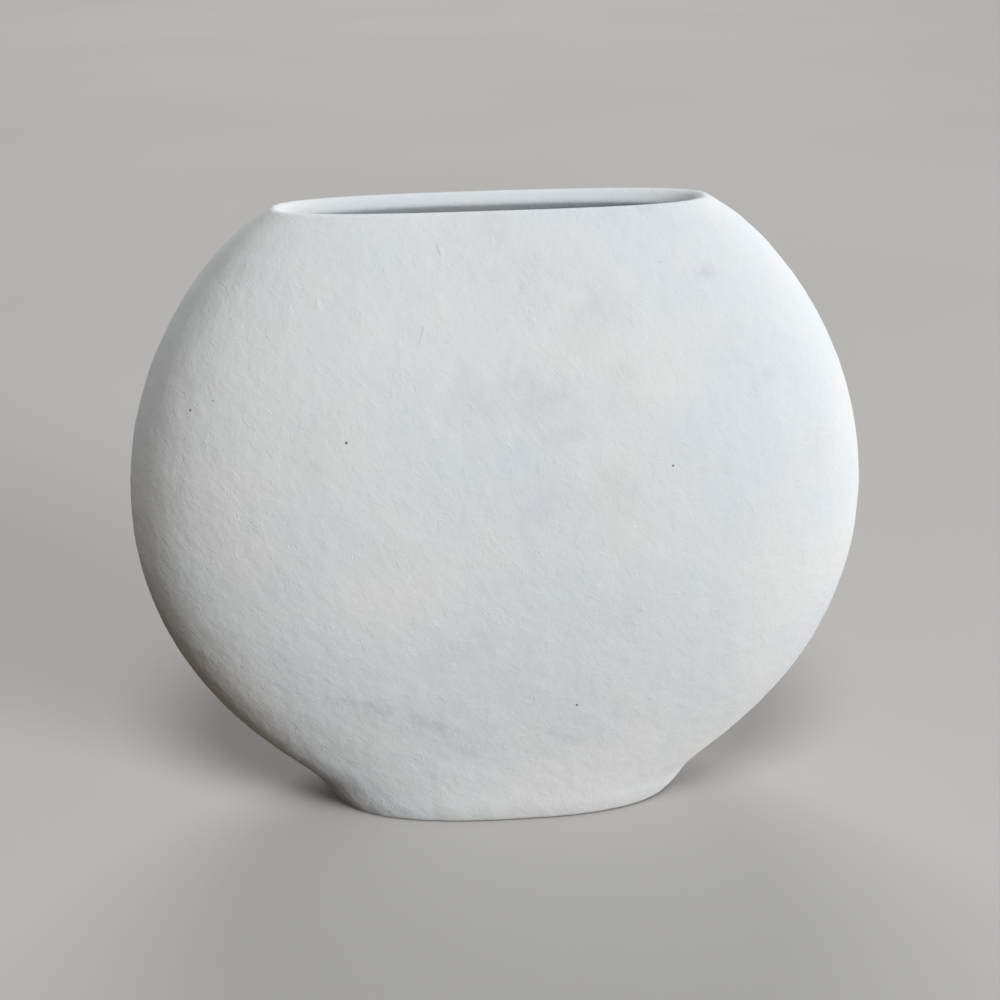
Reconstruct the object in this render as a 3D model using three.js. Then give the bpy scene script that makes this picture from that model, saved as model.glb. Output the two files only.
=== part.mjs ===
// A pillow vase: a flattened disc belly on an oblong foot, drawn in to a slot mouth with a rounded lip.
// The clay body is two half shells, luted along the seam through the narrow sides, on a recessed foot slab.
// A matt white coat covers the outside and the lip, and a glaze lines the inside.
// Millimetres, +Z up, +X across the width, front towards -Y. The origin is the middle of the underside.

import * as THREE from 'three';
import { mergeVertices } from 'three/addons/utils/BufferGeometryUtils.js';

// Overall form, measured on the outside of the coat
const VASE_HEIGHT = 130;
const BELLY_WIDTH = 150;
const BELLY_DEPTH = 58;
// Height of the widest ring above the table
const BELLY_LEVEL = 68;
const MOUTH_WIDTH = 84.5;
const MOUTH_DEPTH = 20;
// Last turn of the rim inwards: how far it goes, and how far below the crest it starts
const RIM_ROLL = 1.5;
const RIM_ROLL_HEIGHT = 9;
// Inner edge of the rim: 2 is round, more is squarer
const RIM_EXPONENT = 4;
const FOOT_WIDTH = 74;
const FOOT_DEPTH = 35.5;
// Lower edge of the foot: how far it draws in at the table, and how high above the table that starts
const FOOT_EDGE = 0.9;
const FOOT_EDGE_HEIGHT = 5;
// Flank of the foot: 0 is upright, 1 leans out straight towards the edge of the belly
const FOOT_LEAN = 0.95;
// How far the belly curve, carried on down to the table, would run in under the foot's flank
const FOOT_UNDERCUT = 13.5;
// Softness of the hollow between belly and flank at the table, which fades out at the belly level
const FOOT_FILLET = 1.5;
// Plan rings: 2 is an ellipse, more is squarer
const PLAN_EXPONENT = 2.6;
// Broad faces above the belly: 2 is a parabola, more stays flat for longer
const FACE_EXPONENT = 2.3;

// Layers of the wall, from the outside in
const COAT = 0.4;
const CLAY = 2.8;
const GLAZE = 0.4;
// Clearance between a fired-on coat and the clay
const BOND = 0.2;
// How far below the crest of the lip the coat ends inside the mouth
const LIP_TURN = 6;

// Foot slab
const SLAB_THICKNESS = 6;
const FOOT_RING = 5;
const FOOT_RECESS = 1.5;
const FOOT_ROUND = 1;
// Bare band that is wiped clean of coat above the table
const DRY_FOOT = 0.3;

// Facets
const AROUND = 48;
const FOOT_ROWS = 3;
const LOWER_ROWS = 8;
const UPPER_ROWS = 8;
const LIP_ROWS = 6;
const NECK_ROWS = 2;
const ROUND_ROWS = 3;

// Numerical work on the curves: the step of a slope, and the rounds that settle an inset point
const SLOPE_STEP = 0.01;
const SETTLE_ROUNDS = 12;

// Insets of the layers from the outside, and the lip's size round its centre line
const CLAY_OUTSIDE = COAT + BOND;
const CLAY_INSIDE = CLAY_OUTSIDE + CLAY;
const LINING_OUTSIDE = CLAY_INSIDE + BOND;
const LINING_INSIDE = LINING_OUTSIDE + GLAZE;
const LIP_CLAY = CLAY / 2;
const LIP_COAT_INSIDE = LIP_CLAY + BOND;
const LIP_COAT_OUTSIDE = LIP_COAT_INSIDE + COAT;
const COAT_END = VASE_HEIGHT - LIP_TURN;

// The outside curves

// The larger root of (r - a)(r - b) = fillet squared, a hyperbola that rounds the hollow between two curves
function roundedMax(a, b, fillet) {
  return (a + b) / 2 + Math.hypot((a - b) / 2, fillet);
}

// Quarter ellipse that is `size` at the belly level and `endSize` at the distance `end` from it
function ellipse(size, distance, endSize, end) {
  const reach = end / Math.sqrt(1 - (endSize / size) ** 2);
  return size * Math.sqrt(Math.max(0, 1 - (distance / reach) ** 2));
}

// Below the belly: an ellipse that tucks in under the foot, rounded into the leaning flank of the foot
function lowerCurve(size, footSize, level) {
  const flankSize = footSize + FOOT_EDGE;
  const climb = level / BELLY_LEVEL;
  const belly = ellipse(size, BELLY_LEVEL - level, flankSize - FOOT_UNDERCUT, BELLY_LEVEL);
  const flank = flankSize - FOOT_FILLET ** 2 / FOOT_UNDERCUT + FOOT_LEAN * (size - flankSize) * climb;
  const drawnIn = FOOT_EDGE * Math.max(0, 1 - level / FOOT_EDGE_HEIGHT) ** 2;
  return roundedMax(belly, flank, FOOT_FILLET * (1 - climb ** 2)) - drawnIn;
}

// How far the rim has turned inwards at a level
function rimTurn(level) {
  return RIM_ROLL * Math.max(0, 1 - (VASE_HEIGHT - level) / RIM_ROLL_HEIGHT) ** 2;
}

// Half width at a level, seen on the broad face: nearly a circle above the belly
function halfWidth(level) {
  if (level < BELLY_LEVEL) return lowerCurve(BELLY_WIDTH / 2, FOOT_WIDTH / 2, level);
  const end = MOUTH_WIDTH / 2 + RIM_ROLL;
  return ellipse(BELLY_WIDTH / 2, level - BELLY_LEVEL, end, VASE_HEIGHT - BELLY_LEVEL) - rimTurn(level);
}

// Half depth at a level, seen on the narrow side: flat-faced, then drawn in to the slot
function halfDepth(level) {
  if (level < BELLY_LEVEL) return lowerCurve(BELLY_DEPTH / 2, FOOT_DEPTH / 2, level);
  const climb = (level - BELLY_LEVEL) / (VASE_HEIGHT - BELLY_LEVEL);
  const end = MOUTH_DEPTH / 2 + RIM_ROLL;
  return BELLY_DEPTH / 2 - (BELLY_DEPTH / 2 - end) * climb ** FACE_EXPONENT - rimTurn(level);
}

// Walls and lip, as insets of an outside curve

// Unit normal of an outside curve at a level, as (outwards, upwards)
function curveNormal(curve, level) {
  const lean = (curve(level + SLOPE_STEP) - curve(level - SLOPE_STEP)) / (2 * SLOPE_STEP);
  return new THREE.Vector2(1, -lean).normalize();
}

// Half size, at a level, of the wall face that lies `inset` inside the outside, square to it
function wallSize(curve, level, inset) {
  let source = level;
  for (let round = 0; round < SETTLE_ROUNDS; round += 1) {
    source = level + inset * curveNormal(curve, source).y;
  }
  return curve(source) - inset * curveNormal(curve, source).x;
}

// Parts of the lip's radius across and along the wall: a round quarter outside, a squarer one inside
function lipShare(angle) {
  const cosine = Math.cos(angle);
  const sine = Math.sin(angle);
  if (cosine > 0) return new THREE.Vector2(cosine, sine);
  const power = 2 / RIM_EXPONENT;
  return new THREE.Vector2(-(Math.abs(cosine) ** power), Math.abs(sine) ** power);
}

// A point of the lip, at an angle from the outside over the crest to the inside
function lipPoint(curve, radius, angle) {
  const middle = VASE_HEIGHT - LIP_COAT_OUTSIDE;
  let start = middle;
  for (let round = 0; round < SETTLE_ROUNDS; round += 1) {
    start = middle + LIP_COAT_OUTSIDE * curveNormal(curve, start).y;
  }
  const normal = curveNormal(curve, start);
  const along = new THREE.Vector2(-normal.y, normal.x);
  const share = lipShare(angle).multiplyScalar(radius);
  const centre = new THREE.Vector2(curve(start) - LIP_COAT_OUTSIDE * normal.x, middle);
  return centre.addScaledVector(normal, share.x).addScaledVector(along, share.y);
}

// Stations: a point of the narrow-side profile and one of the broad-face profile, which one ring joins

function station(pointOn) {
  return { side: pointOn(halfWidth), face: pointOn(halfDepth) };
}

function axisStation(level) {
  return station(() => new THREE.Vector2(0, level));
}

function wallStation(level, inset) {
  return station((curve) => new THREE.Vector2(wallSize(curve, level, inset), level));
}

// Levels of the wall rows, close together near the foot and the mouth, with one on the belly ring.
// Every layer has its rows at these levels, so the facets of facing layers lie side by side.
function wallLevels() {
  const lower = Array.from({ length: LOWER_ROWS }, (_, row) => {
    const share = 1 - Math.cos((Math.PI / 2) * (row / LOWER_ROWS));
    return THREE.MathUtils.lerp(SLAB_THICKNESS, BELLY_LEVEL, share);
  });
  const upper = Array.from({ length: UPPER_ROWS + 1 }, (_, row) => {
    const share = Math.sin((Math.PI / 2) * (row / UPPER_ROWS));
    return THREE.MathUtils.lerp(BELLY_LEVEL, COAT_END, share);
  });
  return [...lower, ...upper];
}

// Rows of the foot from the top of its rounded edge up, without the one at the top of the slab
function footRows(inset) {
  return Array.from({ length: FOOT_ROWS }, (_, row) => {
    const level = THREE.MathUtils.lerp(FOOT_ROUND, SLAB_THICKNESS, row / FOOT_ROWS);
    return wallStation(level, inset);
  });
}

// Rows of wall from the slab to the end of the coat, with first and last rows of their own
function wallRows(inset, bottom, top) {
  const between = wallLevels().slice(1, -1);
  return [bottom, ...between, top].map((level) => wallStation(level, inset));
}

// Rows from the end of the coat up to the start of the lip on the outside, or to its end on the inside
function neckRows(inset, lipRadius, lipAngle) {
  return Array.from({ length: NECK_ROWS }, (_, row) => station((curve) => {
    const lipLevel = lipPoint(curve, lipRadius, lipAngle).y;
    const level = THREE.MathUtils.lerp(COAT_END, lipLevel, (row + 1) / NECK_ROWS);
    return new THREE.Vector2(wallSize(curve, level, inset), level);
  }));
}

// Rows between the two ends of the lip
function lipArc(radius) {
  return Array.from({ length: LIP_ROWS - 1 }, (_, row) => {
    const angle = (Math.PI * (row + 1)) / LIP_ROWS;
    return station((curve) => lipPoint(curve, radius, angle));
  });
}

// Solids swept round the axis

// The point of a station's ring at a turn: a superellipse through the two profiles
function ringPoint({ side, face }, turn) {
  const cosine = Math.cos(turn);
  const sine = Math.sin(turn);
  const power = 2 / PLAN_EXPONENT;
  const x = side.x * Math.sign(cosine) * Math.abs(cosine) ** power;
  const y = face.x * Math.sign(sine) * Math.abs(sine) ** power;
  return new THREE.Vector3(x, y, side.y * cosine ** 2 + face.y * sine ** 2);
}

// Closed geometry from corner points and triangles, without the triangles that collapse on the axis
function closedGeometry(corners, triangles) {
  const loose = new THREE.BufferGeometry().setFromPoints(corners);
  loose.setIndex(triangles.flat());
  const merged = mergeVertices(loose);
  const index = Array.from(merged.index.array);
  const kept = [];
  for (let i = 0; i < index.length; i += 3) {
    const [a, b, c] = index.slice(i, i + 3);
    if (a !== b && b !== c && c !== a) kept.push(a, b, c);
  }
  merged.setIndex(kept);
  merged.computeVertexNormals();
  return merged;
}

// Triangles between neighbouring rings. The stations run up the outside and down the inside.
function ringTriangles(stationCount, spans, turnCount) {
  const triangles = [];
  for (let span = 0; span < spans; span += 1) {
    for (let k = 0; k < stationCount; k += 1) {
      const next = (k + 1) % stationCount;
      const here = span * stationCount;
      const there = ((span + 1) % turnCount) * stationCount;
      triangles.push([here + k, there + k, there + next], [here + k, there + next, here + next]);
    }
  }
  return triangles;
}

// A body that runs all the way round
function fullSweep(stations) {
  const turns = Array.from({ length: AROUND }, (_, i) => (2 * Math.PI * i) / AROUND);
  const corners = turns.flatMap((turn) => stations.map((entry) => ringPoint(entry, turn)));
  return closedGeometry(corners, ringTriangles(stations.length, AROUND, AROUND));
}

// Half of a closed wall section, from one narrow side to the other, with flat seam faces at both ends
function halfSweep(stations, firstTurn) {
  const spans = AROUND / 2;
  const turns = Array.from({ length: spans + 1 }, (_, i) => firstTurn + (Math.PI * i) / spans);
  const rings = turns.map((turn) => stations.map((entry) => ringPoint(entry, turn)));
  for (const end of [rings[0], rings[spans]]) {
    for (const corner of end) corner.y = 0;
  }
  const triangles = ringTriangles(stations.length, spans, spans + 1);
  const outline = stations.map(({ side }) => side.clone());
  for (const [a, b, c] of THREE.ShapeUtils.triangulateShape(outline, [])) {
    const last = spans * stations.length;
    triangles.push([a, b, c], [last + a, last + c, last + b]);
  }
  return closedGeometry(rings.flat(), triangles);
}

// Sections of the pieces

function shellSection() {
  return [
    ...wallRows(CLAY_OUTSIDE, SLAB_THICKNESS, COAT_END),
    ...neckRows(CLAY_OUTSIDE, LIP_CLAY, 0),
    ...lipArc(LIP_CLAY),
    ...neckRows(CLAY_INSIDE, LIP_CLAY, Math.PI).reverse(),
    ...wallRows(CLAY_INSIDE, SLAB_THICKNESS, COAT_END).reverse(),
  ];
}

function slabSection() {
  const edge = Array.from({ length: ROUND_ROWS + 1 }, (_, row) => {
    const angle = (Math.PI / 2) * (row / ROUND_ROWS);
    const level = FOOT_ROUND * (1 - Math.cos(angle));
    return wallStation(level, CLAY_OUTSIDE + FOOT_ROUND * (1 - Math.sin(angle)));
  });
  return [
    axisStation(FOOT_RECESS),
    wallStation(FOOT_RECESS, CLAY_OUTSIDE + FOOT_RING),
    wallStation(0, CLAY_OUTSIDE + FOOT_RING),
    ...edge,
    ...footRows(CLAY_OUTSIDE).slice(1),
    wallStation(SLAB_THICKNESS, CLAY_OUTSIDE),
    axisStation(SLAB_THICKNESS),
  ];
}

function liningSection() {
  const underside = SLAB_THICKNESS + BOND;
  const floor = underside + GLAZE;
  const top = COAT_END - BOND;
  return [
    axisStation(underside),
    ...wallRows(LINING_OUTSIDE, underside, top),
    ...wallRows(LINING_INSIDE, floor, top).reverse(),
    axisStation(floor),
  ];
}

function coatSection() {
  const insideFace = CLAY_INSIDE + BOND;
  return [
    wallStation(DRY_FOOT, 0),
    ...footRows(0),
    ...wallRows(0, SLAB_THICKNESS, COAT_END),
    ...neckRows(0, LIP_COAT_OUTSIDE, 0),
    ...lipArc(LIP_COAT_OUTSIDE),
    ...neckRows(insideFace + COAT, LIP_COAT_OUTSIDE, Math.PI).reverse(),
    wallStation(COAT_END, insideFace + COAT),
    wallStation(COAT_END, insideFace),
    ...neckRows(insideFace, LIP_COAT_INSIDE, Math.PI),
    ...lipArc(LIP_COAT_INSIDE).reverse(),
    ...neckRows(COAT, LIP_COAT_INSIDE, 0).reverse(),
    ...wallRows(COAT, SLAB_THICKNESS, COAT_END).reverse(),
    ...footRows(COAT).reverse(),
    wallStation(DRY_FOOT, COAT),
  ];
}

// The assembly

const BARE_CLAY = { color: 0xd8d2c8, roughness: 0.95, metalness: 0 };
const MATTE_WHITE = { color: 0xd9dde0, roughness: 0.9, metalness: 0 };
const SATIN_GLAZE = { color: 0xc6caca, roughness: 0.3, metalness: 0 };

function piece(name, geometry, finish) {
  const mesh = new THREE.Mesh(geometry, new THREE.MeshStandardMaterial(finish));
  mesh.name = name;
  return mesh;
}

const vase = new THREE.Group();
vase.name = 'pillow_vase';
vase.add(
  piece('front_shell', halfSweep(shellSection(), Math.PI), BARE_CLAY),
  piece('rear_shell', halfSweep(shellSection(), 0), BARE_CLAY),
  piece('base_slab', fullSweep(slabSection()), BARE_CLAY),
  piece('glaze_lining', fullSweep(liningSection()), SATIN_GLAZE),
  piece('matte_coat', fullSweep(coatSection()), MATTE_WHITE),
);

export default vase;
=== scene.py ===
# %% [markdown]
# # A white pillow vase
# The vase is a flattened ball of clay on an oblong foot, with a long slot at the top for a row of stems.
# The solids that are loaded here already have its sizes and its pieces, and they stay where they are. This
# lesson gives the pieces that show a finer surface and a real finish, then adds light and a camera.

# %% Load the solids
import math

import bpy
from mathutils import Matrix, Vector


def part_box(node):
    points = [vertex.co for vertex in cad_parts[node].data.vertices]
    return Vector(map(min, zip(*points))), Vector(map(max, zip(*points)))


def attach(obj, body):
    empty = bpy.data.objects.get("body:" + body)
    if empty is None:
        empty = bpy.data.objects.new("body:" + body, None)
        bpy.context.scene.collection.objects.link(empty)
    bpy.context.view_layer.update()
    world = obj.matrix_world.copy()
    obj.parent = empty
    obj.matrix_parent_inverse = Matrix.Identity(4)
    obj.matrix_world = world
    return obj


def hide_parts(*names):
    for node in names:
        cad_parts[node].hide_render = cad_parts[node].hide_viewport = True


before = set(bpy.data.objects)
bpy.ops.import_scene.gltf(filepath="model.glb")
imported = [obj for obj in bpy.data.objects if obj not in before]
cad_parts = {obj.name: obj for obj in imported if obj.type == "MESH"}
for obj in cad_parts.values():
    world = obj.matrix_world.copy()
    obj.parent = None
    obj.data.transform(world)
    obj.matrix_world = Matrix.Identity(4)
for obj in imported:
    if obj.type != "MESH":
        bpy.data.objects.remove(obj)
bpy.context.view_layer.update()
print("solids:", sorted(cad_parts))

# %% [markdown]
# ## The sizes of the wall
# A potter would draw this vase with two outlines: the broad front, and the narrow side. Both outlines need
# only a few sizes. The coat's box gives the largest ones. The rest are written here in millimetres of a
# drawing that is 130 mm tall, and the unit follows the loaded coat, so the whole vase grows with it.

# %% Sizes
DRAWN_HEIGHT = 130
coat_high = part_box("matte_coat")[1]
MM = coat_high.z / DRAWN_HEIGHT

HEIGHT = coat_high.z
BELLY_HALF_WIDTH = coat_high.x
BELLY_HALF_DEPTH = coat_high.y
BELLY_LEVEL = 68 * MM
MOUTH_HALF_WIDTH = 42.25 * MM
MOUTH_HALF_DEPTH = 10 * MM
RIM_ROLL = 1.5 * MM
RIM_ROLL_HEIGHT = 9 * MM
RIM_EXPONENT = 4
FOOT_HALF_WIDTH = 37 * MM
FOOT_HALF_DEPTH = 17.75 * MM
FOOT_EDGE = 0.9 * MM
FOOT_EDGE_HEIGHT = 5 * MM
FOOT_LEAN = 0.95
FOOT_UNDERCUT = 13.5 * MM
FOOT_FILLET = 1.5 * MM
PLAN_EXPONENT = 2.6
FACE_EXPONENT = 2.3

# %% [markdown]
# ## The two outlines
# Above the belly, the front outline is an ellipse, and the side outline stays flat before it draws in to
# the slot. Both turn in a little more at the rim. Below the belly, both tuck in like an ellipse and meet
# the flank of the foot, which leans outwards. A plain maximum of the two would leave a crease, so a
# hyperbola rounds the hollow between them, as a wet sponge would. The sponge also draws in the foot's
# lowest edge. Drawn curves would do as well, but a formula gives the slope at any level, which the layers of
# the wall need.

# %% Outlines of the outside
def rounded_max(first, second, fillet):
    return (first + second) / 2 + math.hypot((first - second) / 2, fillet)


def ellipse(size, distance, end_size, end):
    reach = end / math.sqrt(1 - (end_size / size) ** 2)
    return size * math.sqrt(max(0, 1 - (distance / reach) ** 2))


def lower_curve(size, foot_size, level):
    flank_size = foot_size + FOOT_EDGE
    climb = level / BELLY_LEVEL
    belly = ellipse(size, BELLY_LEVEL - level, flank_size - FOOT_UNDERCUT, BELLY_LEVEL)
    flank = flank_size - FOOT_FILLET ** 2 / FOOT_UNDERCUT + FOOT_LEAN * (size - flank_size) * climb
    drawn_in = FOOT_EDGE * max(0, 1 - level / FOOT_EDGE_HEIGHT) ** 2
    return rounded_max(belly, flank, FOOT_FILLET * (1 - climb ** 2)) - drawn_in


def rim_turn(level):
    return RIM_ROLL * max(0, 1 - (HEIGHT - level) / RIM_ROLL_HEIGHT) ** 2


def half_width(level):
    if level < BELLY_LEVEL:
        return lower_curve(BELLY_HALF_WIDTH, FOOT_HALF_WIDTH, level)
    end = MOUTH_HALF_WIDTH + RIM_ROLL
    return ellipse(BELLY_HALF_WIDTH, level - BELLY_LEVEL, end, HEIGHT - BELLY_LEVEL) - rim_turn(level)


def half_depth(level):
    if level < BELLY_LEVEL:
        return lower_curve(BELLY_HALF_DEPTH, FOOT_HALF_DEPTH, level)
    climb = (level - BELLY_LEVEL) / (HEIGHT - BELLY_LEVEL)
    end = MOUTH_HALF_DEPTH + RIM_ROLL
    return BELLY_HALF_DEPTH - (BELLY_HALF_DEPTH - end) * climb ** FACE_EXPONENT - rim_turn(level)


print("foot in mm:", round(2 * half_width(0) / MM, 1), "by", round(2 * half_depth(0) / MM, 1))

# %% [markdown]
# ## Layers of the wall and the lip
# The wall has three layers: a thin white coat, the clay, and a thin glaze inside. Each layer is an inset of
# the outside, measured square to the curve, so it keeps its thickness where the wall leans. At the top the
# layers turn over round one centre, which makes the lip: round on the outside, and a little squarer inside.

# %% Insets
COAT = 0.4 * MM
CLAY_OUTSIDE = 0.6 * MM
GLAZE_OUTSIDE = 3.6 * MM
GLAZE_INSIDE = 4.0 * MM
SLOPE_STEP = 0.01 * MM
SETTLE_ROUNDS = 12


def outward(curve, level):
    lean = (curve(level + SLOPE_STEP) - curve(level - SLOPE_STEP)) / (2 * SLOPE_STEP)
    return Vector((1, -lean)).normalized()


def inset_size(curve, level, inset):
    source = level
    for _ in range(SETTLE_ROUNDS):
        source = level + inset * outward(curve, source).y
    return curve(source) - inset * outward(curve, source).x


print("inside of the belly in mm:", round(2 * inset_size(half_width, BELLY_LEVEL, GLAZE_INSIDE) / MM, 1))

# %% Lip
LIP_RADIUS = GLAZE_INSIDE / 2


def lip_share(angle):
    across = math.cos(angle)
    along = math.sin(angle)
    if across > 0:
        return across, along
    power = 2 / RIM_EXPONENT
    return -abs(across) ** power, abs(along) ** power


def lip_point(curve, radius, angle):
    middle = HEIGHT - LIP_RADIUS
    start = middle
    for _ in range(SETTLE_ROUNDS):
        start = middle + LIP_RADIUS * outward(curve, start).y
    normal = outward(curve, start)
    across, along = lip_share(angle)
    size = curve(start) - LIP_RADIUS * normal.x + radius * (normal.x * across - normal.y * along)
    return size, middle + radius * (normal.y * across + normal.x * along)


print("lip crest in mm:", round(lip_point(half_depth, LIP_RADIUS, math.pi / 4)[1] / MM, 2))

# %% [markdown]
# ## Even rows
# A mesh shows light best where its faces are about the same size. Equal steps of height would crowd the
# upright belly and stretch the foot, so the rows are spread by the length of the front outline instead. A
# lean above 1 packs the rows towards the foot, which is enough for the faces that nobody sees. Those also
# get fewer rows, so that the coat stays under 200,000 triangles.

# %% Levels of the rows
WALK_STEPS = 2000


def spread(first, last, count):
    return [first + (last - first) * step / (count - 1) for step in range(count)]


def even_levels(low, high, count, lean=1.0):
    levels = spread(low, high, WALK_STEPS)
    lengths = [0.0]
    for before, after in zip(levels, levels[1:]):
        step = math.hypot(half_width(after) - half_width(before), after - before)
        lengths.append(lengths[-1] + step)
    found = []
    place = 0
    for share in spread(0, 1, count):
        wanted = lengths[-1] * share ** lean
        while place < WALK_STEPS - 1 and lengths[place] < wanted:
            place += 1
        found.append(levels[place])
    return found


def wall_rows(curve, inset, levels):
    return [(inset_size(curve, level, inset), level) for level in levels]


print("levels of five even rows in mm:", [round(level / MM, 1) for level in even_levels(0, HEIGHT, 5)])

# %% [markdown]
# ## Sections of the three pieces that show
# Each piece is a closed section that is swept round the vase. A section runs up the outside of its piece
# and down the inside, so the swept faces point outwards. The white coat goes over the lip and a little way
# down inside. The glaze pools in the corner of the floor. The clay foot has a shallow recess, which leaves
# a ring to stand on.

# %% Section of the white coat
DRY_FOOT = 0.3 * MM
COAT_TUCK = 6 * MM
COAT_END = HEIGHT - COAT_TUCK
COAT_WALL_ROWS = 150
COAT_HIDDEN_ROWS = 32
HIDDEN_LEAN = 1.7
LIP_ROWS = 26
HIDDEN_LIP_ROWS = 8
NECK_ROWS = 6


def lip_rows(curve, radius, first, last, count):
    return [lip_point(curve, radius, angle) for angle in spread(first, last, count)]


def coat_section(curve):
    outside_top = lip_point(curve, LIP_RADIUS, 0)[1]
    inside_top = lip_point(curve, LIP_RADIUS, math.pi)[1]
    outside_levels = even_levels(DRY_FOOT, COAT_END, COAT_WALL_ROWS)
    hidden_levels = even_levels(DRY_FOOT, COAT_END, COAT_HIDDEN_ROWS, HIDDEN_LEAN)
    rows = wall_rows(curve, 0, outside_levels)
    rows += wall_rows(curve, 0, spread(COAT_END, outside_top, NECK_ROWS)[1:-1])
    rows += lip_rows(curve, LIP_RADIUS, 0, math.pi, LIP_ROWS)
    rows += wall_rows(curve, GLAZE_INSIDE, spread(inside_top, COAT_END, NECK_ROWS)[1:])
    rows += wall_rows(curve, GLAZE_OUTSIDE, [COAT_END])
    rows += lip_rows(curve, LIP_RADIUS - COAT, math.pi, 0, HIDDEN_LIP_ROWS)
    rows += wall_rows(curve, COAT, hidden_levels[::-1])
    return rows + rows[:1]


print("rows of the coat:", len(coat_section(half_width)))

# %% Section of the glaze
LAYER_GAP = 0.2 * MM
FLOOR_UNDERSIDE = 6.2 * MM
FLOOR = 6.6 * MM
GLAZE_TOP = COAT_END - LAYER_GAP
GLAZE_ROWS = 110
GLAZE_HIDDEN_ROWS = 36
POOL_RADIUS = 3 * MM
POOL_ROWS = 8


def glaze_section(curve):
    rows = [(0, FLOOR_UNDERSIDE)]
    hidden_levels = even_levels(FLOOR_UNDERSIDE, GLAZE_TOP, GLAZE_HIDDEN_ROWS, HIDDEN_LEAN)
    inside_levels = even_levels(FLOOR + POOL_RADIUS, GLAZE_TOP, GLAZE_ROWS)
    rows += wall_rows(curve, GLAZE_OUTSIDE, hidden_levels)
    rows += wall_rows(curve, GLAZE_INSIDE, inside_levels[::-1])
    for angle in spread(0, math.pi / 2, POOL_ROWS)[1:]:
        level = FLOOR + POOL_RADIUS * (1 - math.sin(angle))
        rows.append((inset_size(curve, level, GLAZE_INSIDE) - POOL_RADIUS * (1 - math.cos(angle)), level))
    return rows + [(0, FLOOR)]


print("rows of the glaze:", len(glaze_section(half_width)))

# %% Section of the foot
SLAB_TOP = 6 * MM
RECESS = 1.5 * MM
FOOT_RING = 5 * MM
FOOT_ROUND = 1 * MM
EDGE_ROWS = 7


def foot_section(curve):
    ring_inside = inset_size(curve, 0, CLAY_OUTSIDE + FOOT_RING)
    quarter = spread(0, math.pi / 2, EDGE_ROWS)
    rows = [(0, RECESS), (ring_inside - FOOT_ROUND, RECESS)]
    for angle in quarter:
        rows.append((ring_inside + FOOT_ROUND * math.sin(angle), FOOT_ROUND * (1 - math.sin(angle))))
    for angle in quarter:
        level = FOOT_ROUND * (1 - math.cos(angle))
        rows.append((inset_size(curve, level, CLAY_OUTSIDE + FOOT_ROUND * (1 - math.sin(angle))), level))
    rows += wall_rows(curve, CLAY_OUTSIDE, spread(FOOT_ROUND, SLAB_TOP, EDGE_ROWS)[1:])
    return rows + [(0, SLAB_TOP)]


print("rows of the foot:", len(foot_section(half_width)))

# %% [markdown]
# ## The plan ring
# Seen from above, every ring of the vase is a superellipse: rounder than a rectangle, squarer than an
# ellipse. Equal turns would leave wide faces in the middle of the front, so the belly ring is walked and
# cut into equal lengths. Each point of the ring keeps a third number, its share of the front outline in the
# level.

# %% Points of the plan ring
def ring_point(turn):
    power = 2 / PLAN_EXPONENT
    cosine = math.cos(turn)
    sine = math.sin(turn)
    x = math.copysign(abs(cosine) ** power, cosine)
    y = math.copysign(abs(sine) ** power, sine)
    return x, y, cosine ** 2


def even_turns(columns):
    turns = spread(0, math.pi / 2, WALK_STEPS + 1)
    places = [ring_point(turn) for turn in turns]
    lengths = [0.0]
    for before, after in zip(places, places[1:]):
        run = (after[0] - before[0]) * BELLY_HALF_WIDTH
        rise = (after[1] - before[1]) * BELLY_HALF_DEPTH
        lengths.append(lengths[-1] + math.hypot(run, rise))
    quarter = []
    place = 0
    for wanted in spread(0, lengths[-1], columns // 4 + 1)[:-1]:
        while lengths[place + 1] < wanted:
            place += 1
        share = (wanted - lengths[place]) / (lengths[place + 1] - lengths[place])
        quarter.append(turns[place] + share * (turns[place + 1] - turns[place]))
    half = quarter + [math.pi - turn for turn in [math.pi / 2] + quarter[:0:-1]]
    return half + [turn + math.pi for turn in half] + [2 * math.pi]


print("turns of eight columns in degrees:", [round(math.degrees(turn)) for turn in even_turns(8)])

# %% [markdown]
# ## Helpers for nodes
# Materials and geometry trees are both made of nodes. One helper adds a node, sets it up, and fills its
# inputs with plain values or with the outputs of other nodes. The next ones do sums, so that a formula
# stays readable.

# %% Nodes and sums
def put(tree, kind, inputs=None, **settings):
    node = tree.nodes.new(kind)
    for name, value in settings.items():
        setattr(node, name, value)
    for key, value in (inputs or {}).items():
        if isinstance(value, bpy.types.NodeSocket):
            tree.links.new(value, node.inputs[key])
        else:
            node.inputs[key].default_value = value
    return node


def calc(tree, operation, *values):
    return put(tree, "ShaderNodeMath", dict(enumerate(values)), operation=operation).outputs[0]


def vector_calc(tree, operation, first, second):
    node = put(tree, "ShaderNodeVectorMath", {0: first, 1: second}, operation=operation)
    return node.outputs["Value" if operation in ("DISTANCE", "DOT_PRODUCT") else "Vector"]


def scaled(tree, vector, factor):
    inputs = {0: vector, "Scale": factor}
    return put(tree, "ShaderNodeVectorMath", inputs, operation="SCALE").outputs["Vector"]


print("helpers that add nodes:", [helper.__name__ for helper in (put, calc, vector_calc, scaled)])

# %% [markdown]
# ## Helpers for finishes
# Every finish of this vase is made of the same few things: noise, a range of it that is stretched from 0 to
# 1, a blend of two colours, and a bump. Image textures would need files and a seam somewhere. Noise on the
# object's own coordinates needs neither, and it runs round all sides.

# %% Finishes
MIX_SHARE = 0
MIX_FIRST = 6
MIX_SECOND = 7
MIX_RESULT = 2


def new_finish(name):
    material = bpy.data.materials.new(name)
    material.use_nodes = True
    tree = material.node_tree
    shader = tree.nodes["Principled BSDF"]
    place = put(tree, "ShaderNodeTexCoord").outputs["Object"]
    return material, tree, shader, place


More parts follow.
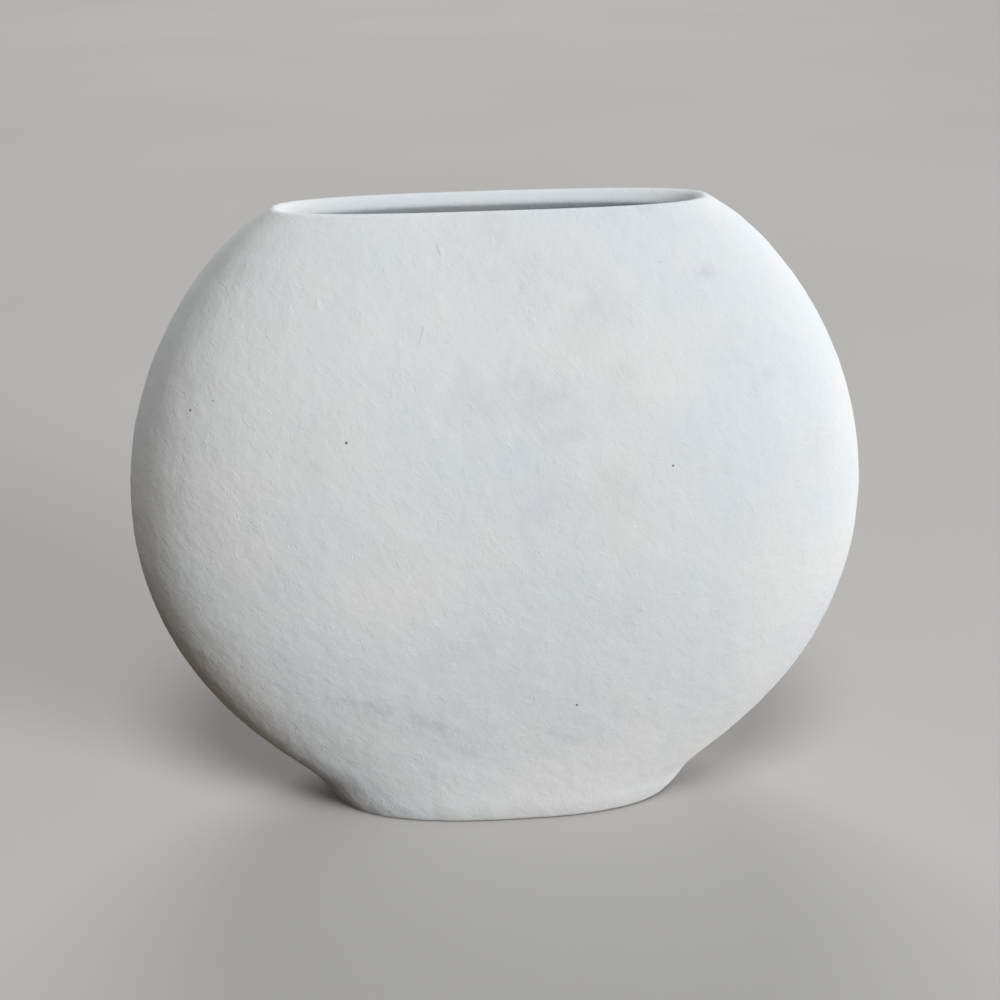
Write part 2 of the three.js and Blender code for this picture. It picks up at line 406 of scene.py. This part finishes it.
def noise(tree, place, size, detail=3.0, rough=0.5, twist=0.0):
    inputs = {"Vector": place, "Scale": 1 / size, "Detail": detail, "Roughness": rough, "Distortion": twist}
    return put(tree, "ShaderNodeTexNoise", inputs).outputs["Fac"]


def remap(tree, value, low, high, to_low=0.0, to_high=1.0):
    inputs = {"Value": value, "From Min": low, "From Max": high, "To Min": to_low, "To Max": to_high}
    return put(tree, "ShaderNodeMapRange", inputs, interpolation_type="SMOOTHSTEP").outputs["Result"]


def blend_colour(tree, share, first, second):
    inputs = {MIX_SHARE: share, MIX_FIRST: first, MIX_SECOND: second}
    return put(tree, "ShaderNodeMix", inputs, data_type="RGBA").outputs[MIX_RESULT]


def raise_skin(tree, shader, height, depth):
    bump = put(tree, "ShaderNodeBump", {"Height": height, "Distance": depth, "Strength": 1.0})
    tree.links.new(bump.outputs["Normal"], shader.inputs["Normal"])


def srgb(red, green, blue):
    def linear(number):
        share = number / 255
        return share / 12.92 if share <= 0.04045 else ((share + 0.055) / 1.055) ** 2.4
    return linear(red), linear(green), linear(blue), 1.0


print("middle grey as a linear number:", round(srgb(128, 128, 128)[0], 3))

# %% [markdown]
# ## Marks on the front
# A vase that has been used shows where. This one has a few dark specks of iron that came out in the firing,
# two hairline scratches, and grey smudges left by fingers and shelves. Random marks would be quicker, but
# these are what tells this vase from the next one. Each mark is a place on the front wall, given by its
# distance from the middle and its level in millimetres. The wall's own formula gives the depth, so no mark
# floats. A speck also has a reach and a strength, and a smudge runs between two places.

# %% Places of the marks
def on_front(across, level):
    share = abs(across * MM) / half_width(level * MM)
    depth = half_depth(level * MM) * (1 - share ** PLAN_EXPONENT) ** (1 / PLAN_EXPONENT)
    return Vector((across * MM, -depth, level * MM))


SPECKS = [
    (on_front(-29.0, 90.9), 0.42 * MM, 0.75),
    (on_front(-58.7, 95.6), 0.36 * MM, 0.8),
    (on_front(-54.0, 97.8), 0.28 * MM, 0.6),
    (on_front(32.6, 84.1), 0.32 * MM, 0.85),
    (on_front(14.3, 31.8), 0.38 * MM, 1.0),
]
HAIRLINES = [
    (on_front(-14.7, 108.4), on_front(-13.8, 111.3)),
    (on_front(-10.8, 125.2), on_front(-10.1, 123.4)),
]
SMUDGES = [
    (on_front(39.2, 118.4), on_front(40.2, 118.4), 2.8 * MM, 0.24),
    (on_front(-4.6, 99.2), on_front(12.0, 98.0), 8 * MM, 0.17),
    (on_front(10.1, 90.9), on_front(13.3, 91.7), 4 * MM, 0.18),
    (on_front(22.5, 97.0), on_front(23.0, 101.0), 5 * MM, 0.13),
    (on_front(16.0, 110.0), on_front(19.0, 114.0), 7 * MM, 0.17),
    (on_front(-32.6, 34.1), on_front(-24.0, 31.9), 3.2 * MM, 0.42),
    (on_front(-20.7, 30.8), on_front(-11.7, 25.9), 3.4 * MM, 0.34),
    (on_front(-9.3, 21.6), on_front(-7.3, 19.5), 2.4 * MM, 0.24),
    (on_front(8.9, 24.1), on_front(15.1, 21.9), 2.2 * MM, 0.22),
    (on_front(-31.8, 31.8), on_front(-9.7, 24.4), 9 * MM, 0.10),
]
print("marks:", len(SPECKS), "specks,", len(HAIRLINES), "hairlines,", len(SMUDGES), "smudges")

# %% [markdown]
# ## Colour of the white coat
# The coat is a matt engobe, a white slip. Its colour drifts between cool and neutral white. The smudges
# come from the distance to their lines, and noise breaks them up, or they would look sprayed on. The dark
# specks come from the distance to their points. Further ones are scattered sparsely on every side, each in
# a cell of a cell pattern that keeps most of its cells empty.

# %% Distances to marks
SPECK_CORE = 0.45


def fade(tree, distance, core, reach):
    return remap(tree, distance, core, reach, to_low=1.0, to_high=0.0)


def near_point(tree, place, point, reach):
    return fade(tree, vector_calc(tree, "DISTANCE", place, point), reach * SPECK_CORE, reach)


def near_line(tree, place, first, last, core, reach):
    along = last - first
    from_first = vector_calc(tree, "SUBTRACT", place, first)
    share = calc(tree, "DIVIDE", vector_calc(tree, "DOT_PRODUCT", from_first, along), along.length_squared)
    inside = put(tree, "ShaderNodeClamp", {"Value": share, "Min": 0.0, "Max": 1.0}).outputs[0]
    foot = scaled(tree, along, inside)
    return fade(tree, vector_calc(tree, "DISTANCE", from_first, foot), core, reach)


def strongest(tree, so_far, near, strength):
    return calc(tree, "MAXIMUM", so_far, calc(tree, "MULTIPLY", near, strength))


print("widest smudge in mm:", round(max(reach for _, _, reach, _ in SMUDGES) / MM, 1))

# %% Smudges and specks
GRIME_SIZE = 24 * MM
GRIME_STRENGTH = 0.18
BREAK_SIZE = 5 * MM
SPECK_CELL = 11 * MM
SPECK_RARITY = 0.80
SCATTERED_STRENGTH = 0.45
HAIRLINE_CORE = 0.06 * MM
HAIRLINE_REACH = 0.22 * MM
HAIRLINE_STRENGTH = 0.2


def smudge_share(tree, place):
    clouds = noise(tree, place, GRIME_SIZE, detail=5, rough=0.65)
    grime = remap(tree, clouds, low=0.52, high=0.74, to_high=GRIME_STRENGTH)
    for first, last, reach, strength in SMUDGES:
        grime = strongest(tree, grime, near_line(tree, place, first, last, 0.0, reach), strength)
    crumbs = noise(tree, place, BREAK_SIZE, detail=5, rough=0.65)
    return calc(tree, "MULTIPLY", grime, remap(tree, crumbs, low=0.36, high=0.64, to_low=0.25))


def scattered_specks(tree, place):
    cells = put(tree, "ShaderNodeTexVoronoi", {"Vector": place, "Scale": 1 / SPECK_CELL})
    chosen = put(tree, "ShaderNodeSeparateColor", {"Color": cells.outputs["Color"]}).outputs[0]
    rare = calc(tree, "GREATER_THAN", chosen, SPECK_RARITY)
    return calc(tree, "MULTIPLY", rare, fade(tree, cells.outputs["Distance"], core=0.006, reach=0.017))


def speck_share(tree, place):
    dark = calc(tree, "MULTIPLY", scattered_specks(tree, place), SCATTERED_STRENGTH)
    for point, reach, strength in SPECKS:
        dark = strongest(tree, dark, near_point(tree, place, point, reach), strength)
    for first, last in HAIRLINES:
        scratch = near_line(tree, place, first, last, HAIRLINE_CORE, HAIRLINE_REACH)
        dark = strongest(tree, dark, scratch, HAIRLINE_STRENGTH)
    return dark


print("share of cells with a speck:", round(1 - SPECK_RARITY, 2))

# %% [markdown]
# ## Skin of the white coat
# The slip dries with a faintly papery skin. Under a raking light it shows grain and short curled marks, one
# to three millimetres long. Large lumps are real geometry, further down. The fine skin is bump: noise for
# the grain, thin folds for the marks, and small noise for the tooth. Real geometry would need millions of
# faces for it. A chalky surface scatters light even at a slant, so the diffuse part of the shader is rough.

# %% Papery skin
COMB_ANGLE = math.radians(40)
COMB_STRETCH = 0.78
STROKE_SIZE = 2.2 * MM
STROKE_WIDTH = 0.05
STROKE_PATCH = 2.3 * MM
STROKE_HEIGHT = 0.22
GRAIN_SIZE = 1.9 * MM
TOOTH_SIZE = 0.5 * MM
TOOTH_HEIGHT = 0.12
NOISE_MIDDLE = 0.5


def combed(tree, place):
    turn = {"Vector": place, "Angle": COMB_ANGLE}
    turned = put(tree, "ShaderNodeVectorRotate", turn, rotation_type="Y_AXIS").outputs[0]
    return vector_calc(tree, "MULTIPLY", turned, (1.0, 1.0, COMB_STRETCH))


def curled_strokes(tree, place):
    folds = noise(tree, place, STROKE_SIZE, detail=1.5, twist=0.7)
    off_middle = calc(tree, "ABSOLUTE", calc(tree, "SUBTRACT", folds, NOISE_MIDDLE))
    patches = remap(tree, noise(tree, place, STROKE_PATCH, detail=1.0), low=0.50, high=0.68)
    return calc(tree, "MULTIPLY", fade(tree, off_middle, 0.0, STROKE_WIDTH), patches)


def grain_and_skin(tree, place):
    brushed = combed(tree, place)
    grain = noise(tree, brushed, GRAIN_SIZE, detail=3, rough=0.6, twist=0.25)
    tooth = noise(tree, place, TOOTH_SIZE, detail=2)
    toothed = calc(tree, "MULTIPLY_ADD", tooth, TOOTH_HEIGHT, grain)
    return grain, calc(tree, "MULTIPLY_ADD", curled_strokes(tree, brushed), STROKE_HEIGHT, toothed)


print("grain and tooth in mm:", round(GRAIN_SIZE / MM, 1), round(TOOTH_SIZE / MM, 1))

# %% White coat finish
COOL_WHITE = srgb(215, 220, 224)
PLAIN_WHITE = srgb(220, 222, 223)
SMUDGE_GREY = srgb(172, 172, 180)
SPECK_BROWN = srgb(60, 54, 52)
DRIFT_SIZE = 32 * MM
SKIN_DEPTH = 0.12 * MM
CHALK_SCATTER = 0.5
CHALK_GLOSS = 0.12


def white_coat_finish():
    material, tree, shader, place = new_finish("matt_white_coat")
    drift = remap(tree, noise(tree, place, DRIFT_SIZE, detail=4, rough=0.55), low=0.36, high=0.64)
    colour = blend_colour(tree, drift, COOL_WHITE, PLAIN_WHITE)
    colour = blend_colour(tree, smudge_share(tree, place), colour, SMUDGE_GREY)
    colour = blend_colour(tree, speck_share(tree, place), colour, SPECK_BROWN)
    tree.links.new(colour, shader.inputs["Base Color"])
    grain, skin = grain_and_skin(tree, place)
    raise_skin(tree, shader, skin, SKIN_DEPTH)
    matt = remap(tree, grain, low=0.3, high=0.7, to_low=0.80, to_high=0.95)
    tree.links.new(matt, shader.inputs["Roughness"])
    shader.inputs["Diffuse Roughness"].default_value = CHALK_SCATTER
    shader.inputs["Specular IOR Level"].default_value = CHALK_GLOSS
    return material


coat_finish = white_coat_finish()
print("nodes in the white coat:", len(coat_finish.node_tree.nodes))

# %% [markdown]
# ## The glaze inside
# The inside is sealed with a thin satin glaze, or water would weep through the clay. It is about as white
# as the coat, and looks grey only because little light gets in. The coat's finish would nearly do, but the
# gloss shows when one looks down into the mouth. It varies where the glaze ran thin, and a low, wide bump
# stands for the ripple that a poured glaze keeps.

# %% Glaze finish
GLAZE_THICK = srgb(218, 222, 224)
GLAZE_THIN = srgb(222, 223, 222)
RUN_SIZE = 14 * MM
RIPPLE_SIZE = 6 * MM
RIPPLE_DEPTH = 0.12 * MM


def glaze_finish():
    material, tree, shader, place = new_finish("satin_inner_glaze")
    thin = remap(tree, noise(tree, place, RUN_SIZE, detail=4, rough=0.6), low=0.38, high=0.66)
    tree.links.new(blend_colour(tree, thin, GLAZE_THICK, GLAZE_THIN), shader.inputs["Base Color"])
    raise_skin(tree, shader, noise(tree, place, RIPPLE_SIZE, detail=2, rough=0.4), RIPPLE_DEPTH)
    satin = remap(tree, thin, low=0.0, high=1.0, to_low=0.28, to_high=0.48)
    tree.links.new(satin, shader.inputs["Roughness"])
    return material


lining_finish = glaze_finish()
print("nodes in the glaze:", len(lining_finish.node_tree.nodes))

# %% [markdown]
# ## Bare clay
# Under the coat, and on the foot where a potter wipes it clean, the clay is bare. Fired clay is a warm
# off-white with fine grit in it, fully matt, and a touch darker on the ring where it has rubbed on shelves.
# One flat colour would do for the parts that are shut in, but the foot shows when the vase is turned over.

# %% Bare clay finish
CLAY_PALE = srgb(218, 211, 201)
CLAY_WARM = srgb(203, 192, 178)
GRIT_BROWN = srgb(140, 124, 108)
RUBBED_GREY = srgb(160, 152, 142)
CLAY_PATCH = 9 * MM
GRIT_SIZE = 0.7 * MM
CLAY_GRAIN = 0.9 * MM
GRIT_DEPTH = 0.08 * MM
RUBBED_CORE = 0.1 * MM
RUBBED_REACH = 0.6 * MM
RUBBED_STRENGTH = 0.6
CLAY_GLOSS = 0.2


def bare_clay_finish():
    material, tree, shader, place = new_finish("bare_fired_clay")
    patch = remap(tree, noise(tree, place, CLAY_PATCH, detail=4, rough=0.6), low=0.35, high=0.65)
    colour = blend_colour(tree, patch, CLAY_PALE, CLAY_WARM)
    grit = remap(tree, noise(tree, place, GRIT_SIZE, detail=2), low=0.62, high=0.74, to_high=0.7)
    colour = blend_colour(tree, grit, colour, GRIT_BROWN)
    level = put(tree, "ShaderNodeSeparateXYZ", {0: place}).outputs["Z"]
    rubbed = remap(tree, level, RUBBED_CORE, RUBBED_REACH, to_low=RUBBED_STRENGTH, to_high=0.0)
    colour = blend_colour(tree, calc(tree, "MULTIPLY", rubbed, patch), colour, RUBBED_GREY)
    tree.links.new(colour, shader.inputs["Base Color"])
    grain = noise(tree, place, CLAY_GRAIN, detail=4, rough=0.6)
    raise_skin(tree, shader, grain, GRIT_DEPTH)
    dull = remap(tree, grain, low=0.3, high=0.7, to_low=0.88, to_high=1.0)
    tree.links.new(dull, shader.inputs["Roughness"])
    shader.inputs["Specular IOR Level"].default_value = CLAY_GLOSS
    return material


clay_finish = bare_clay_finish()
print("nodes in the bare clay:", len(clay_finish.node_tree.nodes))

# %% [markdown]
# ## One tree lofts all three pieces
# The rule of this vase is short: a ring is a plan superellipse, as wide as the front outline and as deep as
# the side outline at that row. A smoothed cage of a few faces would look alike, but its outline would drift
# off the drawn one. Geometry Nodes can follow the rule exactly. The object holds three guide lines, and the
# tree lays a flat grid, looks up the guides by row and column, and moves every point into place. Points
# that meet are merged, so seam and poles close. A last step presses the slip's lumps into the wall, inwards
# only, so that the vase keeps its size.

# %% Grid laid on the guides
MERGE_REACH = 0.001 * MM


def guide_lookup(tree, guides, index):
    position = put(tree, "GeometryNodeInputPosition").outputs[0]
    inputs = {"Geometry": guides, "Value": position, "Index": index}
    found = put(tree, "GeometryNodeSampleIndex", inputs, data_type="FLOAT_VECTOR", domain="POINT").outputs[0]
    return put(tree, "ShaderNodeSeparateXYZ", {0: found}).outputs


def loft_spot(tree, given, row, column):
    front = guide_lookup(tree, given["Guides"], row)
    side = guide_lookup(tree, given["Guides"], calc(tree, "ADD", row, given["Rows"]))
    ring_start = calc(tree, "MULTIPLY", given["Rows"], 2)
    ring = guide_lookup(tree, given["Guides"], calc(tree, "ADD", column, ring_start))
    side_share = calc(tree, "SUBTRACT", 1.0, ring["Z"])
    front_level = calc(tree, "MULTIPLY", front["Z"], ring["Z"])
    return put(tree, "ShaderNodeCombineXYZ", {
        "X": calc(tree, "MULTIPLY", front["X"], ring["X"]),
        "Y": calc(tree, "MULTIPLY", side["X"], ring["Y"]),
        "Z": calc(tree, "MULTIPLY_ADD", side["Z"], side_share, front_level),
    }).outputs[0]


def laid_grid(tree, given):
    across = calc(tree, "ADD", given["Columns"], 1)
    grid = put(tree, "GeometryNodeMeshGrid", {"Vertices X": across, "Vertices Y": given["Rows"]})
    share = put(tree, "ShaderNodeSeparateXYZ", {0: grid.outputs["UV Map"]}).outputs
    column = calc(tree, "ROUND", calc(tree, "MULTIPLY", share["X"], given["Columns"]))
    last_row = calc(tree, "SUBTRACT", given["Rows"], 1)
    row = calc(tree, "ROUND", calc(tree, "MULTIPLY", share["Y"], last_row))
    tag = {"Geometry": grid.outputs["Mesh"], "Name": "row", "Value": row}
    tagged = put(tree, "GeometryNodeStoreNamedAttribute", tag, data_type="FLOAT", domain="POINT").outputs[0]
    move = {"Geometry": tagged, "Position": loft_spot(tree, given, row, column)}
    placed = put(tree, "GeometryNodeSetPosition", move).outputs[0]
    merge = {"Geometry": placed, "Distance": MERGE_REACH}
    return put(tree, "GeometryNodeMergeByDistance", merge).outputs[0]


print("points closer than this in mm are merged:", round(MERGE_REACH / MM, 4))

# %% Lumps pressed in
LUMP_SHARE = 0.6
LUMP_FLOOR = 0.3
LUMP_DEPTH = 0.52 * MM


def lump_field(tree, size, seed):
    scale = calc(tree, "DIVIDE", 1.0, size)
    inputs = {"W": seed, "Scale": scale, "Detail": 2.0, "Roughness": 0.5, "Distortion": 0.6}
    return put(tree, "ShaderNodeTexNoise", inputs, noise_dimensions="4D").outputs[0]


def pressed_lumps(tree, given, mesh):
    row = put(tree, "GeometryNodeInputNamedAttribute", {"Name": "row"}, data_type="FLOAT").outputs[0]
    outside = calc(tree, "LESS_THAN", row, given["Lump rows"])
    wide = lump_field(tree, given["Wide lumps"], given["Seed"])
    narrow = lump_field(tree, given["Narrow lumps"], given["Seed"])
    narrow_part = calc(tree, "MULTIPLY", narrow, 1 - LUMP_SHARE)
    lumps = calc(tree, "MULTIPLY_ADD", wide, LUMP_SHARE, narrow_part)
    raised = calc(tree, "MAXIMUM", calc(tree, "SUBTRACT", lumps, LUMP_FLOOR), 0.0)
    press = calc(tree, "MULTIPLY", calc(tree, "MULTIPLY", raised, given["Lump depth"]), outside)
    normal = put(tree, "GeometryNodeInputNormal").outputs[0]
    inwards = scaled(tree, normal, calc(tree, "MULTIPLY", press, -1.0))
    return put(tree, "GeometryNodeSetPosition", {"Geometry": mesh, "Offset": inwards}).outputs[0]


print("no lump is deeper than this in mm:", round((1 - LUMP_FLOOR) * LUMP_DEPTH / MM, 2))

# %% The loft tree
def add_inputs(tree, kind, *names):
    for name in names:
        tree.interface.new_socket(name=name, in_out="INPUT", socket_type=kind)


def loft_tree():
    tree = bpy.data.node_groups.new("loft_from_guides", "GeometryNodeTree")
    add_inputs(tree, "NodeSocketGeometry", "Guides")
    add_inputs(tree, "NodeSocketInt", "Rows", "Columns", "Lump rows")
    add_inputs(tree, "NodeSocketFloat", "Lump depth", "Wide lumps", "Narrow lumps", "Seed")
    add_inputs(tree, "NodeSocketMaterial", "Finish")
    tree.interface.new_socket(name="Mesh", in_out="OUTPUT", socket_type="NodeSocketGeometry")
    given = put(tree, "NodeGroupInput").outputs
    pressed = pressed_lumps(tree, given, laid_grid(tree, given))
    smooth = put(tree, "GeometryNodeSetShadeSmooth", {"Geometry": pressed}).outputs[0]
    real = put(tree, "GeometryNodeRealizeInstances", {"Geometry": smooth}).outputs[0]
    dress = {"Geometry": real, "Material": given["Finish"]}
    finished = put(tree, "GeometryNodeSetMaterial", dress).outputs[0]
    put(tree, "NodeGroupOutput", {"Mesh": finished})
    return tree


loft = loft_tree()
print("nodes in the loft tree:", len(loft.nodes))

# %% [markdown]
# ## From guides to a finished piece
# The guides are a mesh with points and no faces: first the front outline, then the side outline, then the
# plan ring. A modifier's inputs go by their identifiers, which are looked up by name here. The evaluated
# result is copied into a plain mesh, the modifier goes, and the piece joins the body that the solids belong
# to.

# %% Lofting helper
WIDE_LUMPS = 9 * MM
NARROW_LUMPS = 3.4 * MM
LUMP_SEED = 7.0


def guide_mesh(name, section, columns):
    outlines = [(size, 0, level) for curve in (half_width, half_depth) for size, level in section(curve)]
    ring = [ring_point(turn) for turn in even_turns(columns)]
    guides = bpy.data.meshes.new(name + "_guides")
    guides.from_pydata(outlines + ring, [], [])
    return guides, len(outlines) // 2


def loft_piece(name, section, columns, finish, lump_rows=0, lump_depth=0.0):
    guides, rows = guide_mesh(name, section, columns)
    piece = bpy.data.objects.new(name, guides)
    bpy.context.scene.collection.objects.link(piece)
    modifier = piece.modifiers.new("loft", "NODES")
    modifier.node_group = loft
    values = {
        "Rows": rows,
        "Columns": columns,
        "Lump rows": lump_rows,
        "Lump depth": lump_depth,
        "Wide lumps": WIDE_LUMPS,
        "Narrow lumps": NARROW_LUMPS,
        "Seed": LUMP_SEED,
        "Finish": finish,
    }
    for socket in loft.interface.items_tree:
        if socket.name in values:
            modifier[socket.identifier] = values[socket.name]
    bpy.context.view_layer.update()
    shaped = piece.evaluated_get(bpy.context.evaluated_depsgraph_get())
    mesh = bpy.data.meshes.new_from_object(shaped)
    piece.modifiers.remove(modifier)
    piece.data = mesh
    bpy.data.meshes.remove(guides)
    mesh.name = name
    triangles = sum(len(face.vertices) - 2 for face in mesh.polygons)
    print(name, "has", triangles, "triangles")
    return piece


print("inputs of the loft tree:", [socket.name for socket in loft.interface.items_tree])

# %% The white coat
COAT_COLUMNS = 440

white_coat = loft_piece("white_coat", coat_section, COAT_COLUMNS, coat_finish, COAT_WALL_ROWS, LUMP_DEPTH)
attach(white_coat, "root")
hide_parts("matte_coat")

# %% The glaze and the foot
GLAZE_COLUMNS = 300
FOOT_COLUMNS = 240

inner_glaze = loft_piece("inner_glaze", glaze_section, GLAZE_COLUMNS, lining_finish)
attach(inner_glaze, "root")
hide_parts("glaze_lining")

clay_foot = loft_piece("clay_foot", foot_section, FOOT_COLUMNS, clay_finish)
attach(clay_foot, "root")
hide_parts("base_slab")

# %% [markdown]
# ## The clay halves
# The two clay halves are shut in between coat and glaze. They could be lofted like the rest, but nobody
# would see it. Their solids have the right shape, so they stay, and only take the bare clay finish.

# %% Clay halves
for half in ("front_shell", "rear_shell"):
    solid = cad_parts[half]
    for material_slot in solid.material_slots:
        material_slot.material = clay_finish
    print(half, "has", len(solid.material_slots), "material slot")

# %% [markdown]
# ## Floor and backdrop
# A photographer's sweep is one sheet that lies on the table and curves up behind the object, so that no
# edge shows. To the eye it is pale and plain, and a little darker than the vase, or the white outline would
# be lost. To the light it is dark and warm, like a stone table top. A pale sheet would light the vase from
# below and wash out the shade that shows its shape. The light path tells the shader which of the two is
# asked for.

# %% Finish of the sweep
SWEEP_PALE = srgb(186, 185, 183)
SWEEP_CLOUD = srgb(183, 182, 180)
SWEEP_BOUNCE = srgb(118, 107, 96)
SWEEP_CLOUD_SIZE = 0.35
SWEEP_GLOW = 0.08
SWEEP_ROUGHNESS = 0.95
SWEEP_GLOSS = 0.1


def seen_directly(tree):
    ray = put(tree, "ShaderNodeLightPath").outputs
    mirrored = calc(tree, "ADD", ray["Is Glossy Ray"], ray["Is Transmission Ray"])
    share = calc(tree, "ADD", ray["Is Camera Ray"], mirrored)
    return put(tree, "ShaderNodeClamp", {"Value": share}).outputs[0]


def sweep_finish():
    material, tree, shader, place = new_finish("pale_sweep")
    cloud = remap(tree, noise(tree, place, SWEEP_CLOUD_SIZE, detail=2), low=0.35, high=0.65)
    pale = blend_colour(tree, cloud, SWEEP_PALE, SWEEP_CLOUD)
    seen = seen_directly(tree)
    tree.links.new(blend_colour(tree, seen, SWEEP_BOUNCE, pale), shader.inputs["Base Color"])
    shader.inputs["Emission Color"].default_value = SWEEP_PALE
    tree.links.new(calc(tree, "MULTIPLY", seen, SWEEP_GLOW), shader.inputs["Emission Strength"])
    shader.inputs["Roughness"].default_value = SWEEP_ROUGHNESS
    shader.inputs["Specular IOR Level"].default_value = SWEEP_GLOSS
    return material


sheet_finish = sweep_finish()
print("nodes in the sweep:", len(sheet_finish.node_tree.nodes))

# %% Sweep
SWEEP_FRONT = -3.0
SWEEP_BACK = 2.4
SWEEP_BEND = 0.8
SWEEP_TOP = 3.0
SWEEP_HALF_WIDTH = 4.0
BEND_STEPS = 24


def make_sweep():
    line = [(SWEEP_FRONT, 0.0)]
    for angle in spread(0, math.pi / 2, BEND_STEPS):
        along = SWEEP_BACK + SWEEP_BEND * math.sin(angle)
        line.append((along, SWEEP_BEND * (1 - math.cos(angle))))
    line.append((SWEEP_BACK + SWEEP_BEND, SWEEP_TOP))
    points = [(x, y, z) for y, z in line for x in (-SWEEP_HALF_WIDTH, SWEEP_HALF_WIDTH)]
    faces = [(2 * k, 2 * k + 1, 2 * k + 3, 2 * k + 2) for k in range(len(line) - 1)]
    mesh = bpy.data.meshes.new("sweep")
    mesh.from_pydata(points, [], faces)
    mesh.shade_smooth()
    mesh.materials.append(sheet_finish)
    sweep = bpy.data.objects.new("sweep", mesh)
    bpy.context.scene.collection.objects.link(sweep)
    return sweep


sweep_sheet = make_sweep()
print("faces of the sweep:", len(sweep_sheet.data.polygons))

# %% [markdown]
# ## Light
# The vase stands in soft daylight from a wide window on the right, a little in front of it. A weaker lamp
# overhead brightens the shoulders, and a wider one behind lights the lip and keeps the back from going
# dark. The left side gets little, because the shade there shows the turn of the wall and its papery skin.
# A bright sky would be simpler, but it fills every shade. Here it adds next to nothing, and the camera sees
# it as plain grey.

# %% Lamps
LAMP_DISTANCE = 3.0


def soft_lamp(name, bearing, climb, size, power):
    across = math.radians(bearing)
    rise = math.radians(climb)
    away = Vector((math.sin(across) * math.cos(rise), -math.cos(across) * math.cos(rise), math.sin(rise)))
    data = bpy.data.lights.new(name, "AREA")
    data.shape = "DISK"
    data.size = size
    data.energy = power
    lamp = bpy.data.objects.new(name, data)
    lamp.location = Vector((0, 0, HEIGHT / 2)) + away * LAMP_DISTANCE
    lamp.rotation_euler = (-away).to_track_quat("-Z", "Y").to_euler()
    lamp.visible_camera = False
    bpy.context.scene.collection.objects.link(lamp)
    return lamp


lamps = [
    soft_lamp("window", bearing=50, climb=11, size=1.2, power=86),
    soft_lamp("ceiling", bearing=4, climb=62, size=1.2, power=42),
    soft_lamp("rear", bearing=180, climb=42, size=2.0, power=42),
]
print("lamps:", [lamp.name for lamp in lamps])

# %% Sky
SKY_LIGHT = 0.01
SKY_SEEN = 0.45
SKY_WHITE = (1.0, 1.0, 1.0, 1.0)


def grey_sky():
    world = bpy.data.worlds.new("grey_sky")
    world.use_nodes = True
    tree = world.node_tree
    strength = calc(tree, "MULTIPLY_ADD", seen_directly(tree), SKY_SEEN - SKY_LIGHT, SKY_LIGHT)
    background = tree.nodes["Background"]
    background.inputs["Color"].default_value = SKY_WHITE
    tree.links.new(strength, background.inputs["Strength"])
    return world


bpy.context.scene.world = grey_sky()
bpy.context.scene.view_settings.view_transform = "Standard"
print("sky:", bpy.context.scene.world.name)

# %% [markdown]
# ## Camera
# The camera looks down on the vase from a little above, almost square to the front. It could be set by eye,
# but a small error shows at once in the slot, which closes as the eye drops. So its place, aim and slight
# roll come from matching the outline and the lip.

# %% Camera
CAMERA_SPOT = Vector((-11.97, -307.68, 196.42)) * MM
CAMERA_AIM = Vector((0.63, 0, 67.14)) * MM
CAMERA_ROLL = math.radians(-1.293)
CAMERA_LENS = 57.6
SENSOR_WIDTH = 36
NEAREST_SEEN = 0.01
FARTHEST_SEEN = 50

lens = bpy.data.cameras.new("camera")
lens.lens = CAMERA_LENS
lens.sensor_width = SENSOR_WIDTH
lens.clip_start = NEAREST_SEEN
lens.clip_end = FARTHEST_SEEN
ahead = (CAMERA_AIM - CAMERA_SPOT).normalized()
level_right = ahead.cross(Vector((0, 0, 1))).normalized()
level_up = level_right.cross(ahead)
right = level_right * math.cos(CAMERA_ROLL) + level_up * math.sin(CAMERA_ROLL)
up = level_up * math.cos(CAMERA_ROLL) - level_right * math.sin(CAMERA_ROLL)
camera = bpy.data.objects.new("camera", lens)
bpy.context.scene.collection.objects.link(camera)
camera.matrix_world = Matrix.Translation(CAMERA_SPOT) @ Matrix((right, up, -ahead)).transposed().to_4x4()
bpy.context.scene.camera = camera
print("distance of the camera in mm:", round((CAMERA_AIM - CAMERA_SPOT).length / MM))
